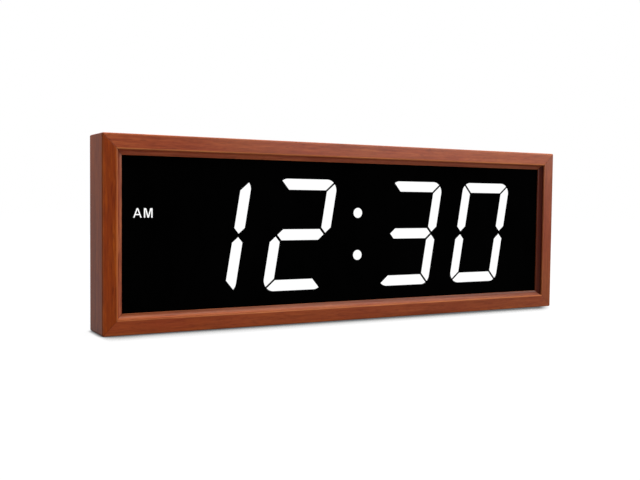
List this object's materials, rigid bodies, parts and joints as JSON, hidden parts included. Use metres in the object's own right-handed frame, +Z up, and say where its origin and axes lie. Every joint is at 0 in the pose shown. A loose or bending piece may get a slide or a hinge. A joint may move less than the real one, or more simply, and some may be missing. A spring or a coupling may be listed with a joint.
{
  "type": "digital wall clock",
  "caption": "Digital wall clock: mitred wooden frame round a smoked lens with large slanted seven-segment digits, rear setting buttons and keyhole hangers.",
  "frame": {"origin": "middle of the footprint, on the bottom face", "axes": "+X to the right seen from the front, along the width; +Y to the back, along the depth; +Z up"},
  "size_m": [0.364, 0.029, 0.123],
  "materials": {
    "wood_frame": "reddish brown stain under satin lacquer",
    "smoked_lens": "dark smoked acrylic",
    "black_foam": "black foam tape",
    "black_housing": "matt black moulding",
    "lit_diffuser": "white translucent diffuser, lit",
    "circuit_board": "green solder mask on glass laminate",
    "led_package": "white package with yellow phosphor",
    "chip_package": "moulded black epoxy",
    "zinc_steel": "zinc plated",
    "aluminium_can": "drawn can",
    "plunger_plastic": "moulded",
    "button_plastic": "satin dark grey",
    "rear_plastic": "fine textured black",
    "inlet_plastic": "smooth black moulding",
    "contact_metal": "plated brass",
    "wire_insulation": "soft insulation"
  },
  "bodies": {
    "case": {"top_rail": "wood_frame", "bottom_rail": "wood_frame", "left_stile": "wood_frame", "right_stile": "wood_frame", "corner_nails": "zinc_steel", "lens_tape": "black_foam", "lens": "smoked_lens", "hour_tens_housing": "black_housing", "hour_units_housing": "black_housing", "minute_tens_housing": "black_housing", "minute_units_housing": "black_housing", "hour_tens_segments": "lit_diffuser", "hour_units_segments": "lit_diffuser", "minute_tens_segments": "lit_diffuser", "minute_units_segments": "lit_diffuser", "colon_housing": "black_housing", "colon_dots": "lit_diffuser", "indicator_housing": "black_housing", "indicator_diffusers": "lit_diffuser", "legend_film": "black_housing", "main_board": "circuit_board", "segment_leds": "led_package", "control_chips": "chip_package", "clock_crystal": "zinc_steel", "filter_capacitors": "aluminium_can", "infrared_receiver": "chip_package", "board_screws": "zinc_steel", "push_switches": "chip_package", "cell_holder": "rear_plastic", "cell_contact": "contact_metal", "coin_cell": "zinc_steel", "inlet_body": "inlet_plastic", "inlet_contacts": "contact_metal", "inlet_nut": "zinc_steel", "inlet_wires": "wire_insulation", "back_cover": "rear_plastic", "cover_screws": "zinc_steel", "left_hanger": "zinc_steel", "right_hanger": "zinc_steel", "hanger_screws": "zinc_steel"},
    "set_button": {"set_button": "button_plastic", "set_plunger": "plunger_plastic"},
    "add_button": {"add_button": "button_plastic", "add_plunger": "plunger_plastic"},
    "exit_button": {"exit_button": "button_plastic", "exit_plunger": "plunger_plastic"},
    "cell_cap": {"cell_cap": "rear_plastic"}
  },
  "joints": [
    {"name": "set_press", "type": "slide", "parent": "case", "child": "set_button", "axis": [0, -1, 0], "range_m": [0, 0.0005], "stiffness_N_per_m": 1500},
    {"name": "add_press", "type": "slide", "parent": "case", "child": "add_button", "axis": [0, -1, 0], "range_m": [0, 0.0005], "stiffness_N_per_m": 1500},
    {"name": "exit_press", "type": "slide", "parent": "case", "child": "exit_button", "axis": [0, -1, 0], "range_m": [0, 0.0005], "stiffness_N_per_m": 1500},
    {"name": "cap_turn", "type": "hinge", "parent": "case", "child": "cell_cap", "pos_m": [0.062, 0.0145, 0.037], "axis": [0, 1, 0], "range_deg": [0, 60]}
  ]
}
